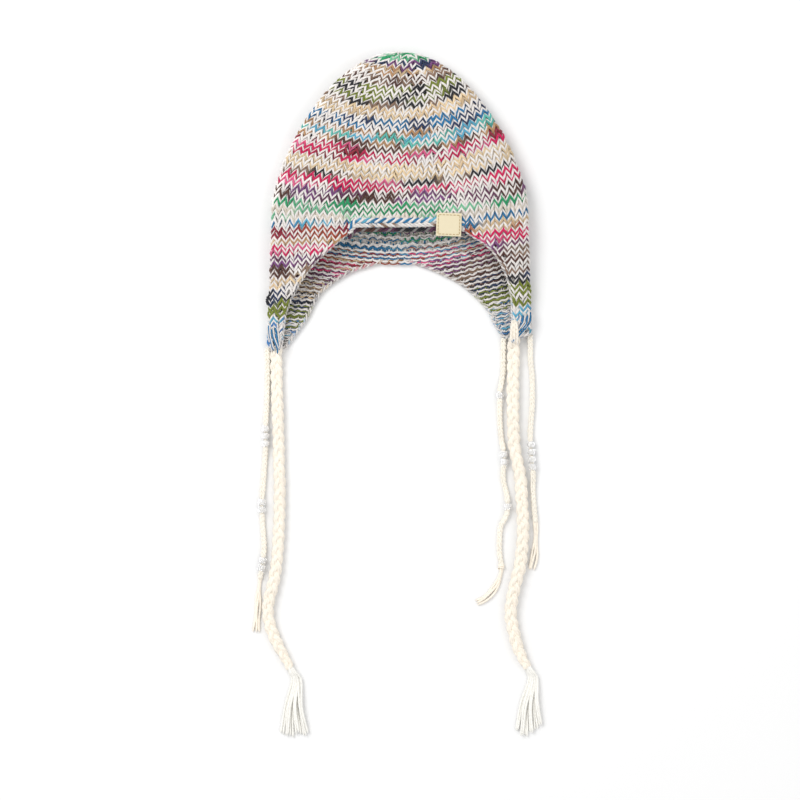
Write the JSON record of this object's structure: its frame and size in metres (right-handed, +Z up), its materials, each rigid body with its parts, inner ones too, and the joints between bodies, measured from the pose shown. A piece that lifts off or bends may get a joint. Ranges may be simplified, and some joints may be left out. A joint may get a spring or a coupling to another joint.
{
  "type": "knitted aviator hat",
  "caption": "Hand-knitted multicolour aviator hat with ear flaps, plaited cream ties with tassels and thin cords with clear beads, lying flat.",
  "frame": {"origin": "on the resting surface, under the middle of the bounding box of the crown, ear flaps and label, without the ties and cords", "axes": "+Y towards the top of the crown, -Y along the ties, +X towards the hat's edge on the right of the picture, +Z up from the surface that the hat lies on"},
  "size_m": [0.2718, 0.6457, 0.0357],
  "materials": {
    "multicolour_knit": "chunky stocking stitch of an off-white and a variegated wool strand held together",
    "cream_wool": "soft plaited cream wool yarn",
    "label_cloth": "woven cream label with a stitched border",
    "clear_bead": "clear, glossy, slightly cloudy"
  },
  "bodies": {
    "root": {"crown": "multicolour_knit", "left_ear_flap": "multicolour_knit", "right_ear_flap": "multicolour_knit", "label": "label_cloth", "left_tie": "cream_wool", "right_tie": "cream_wool", "left_beaded_cord": "cream_wool", "right_inner_cord": "cream_wool", "right_outer_cord": "cream_wool", "left_tassel": "cream_wool", "right_tassel": "cream_wool", "left_bead_1": "clear_bead", "left_bead_2": "clear_bead", "left_bead_3": "clear_bead", "left_bead_4": "clear_bead", "left_bead_5": "clear_bead", "left_bead_6": "clear_bead", "left_bead_7": "clear_bead", "right_inner_bead_1": "clear_bead", "right_inner_bead_2": "clear_bead", "right_inner_bead_3": "clear_bead", "right_inner_bead_4": "clear_bead", "right_outer_bead_1": "clear_bead", "right_outer_bead_2": "clear_bead", "right_outer_bead_3": "clear_bead", "right_outer_bead_4": "clear_bead"}
  },
  "joints": []
}
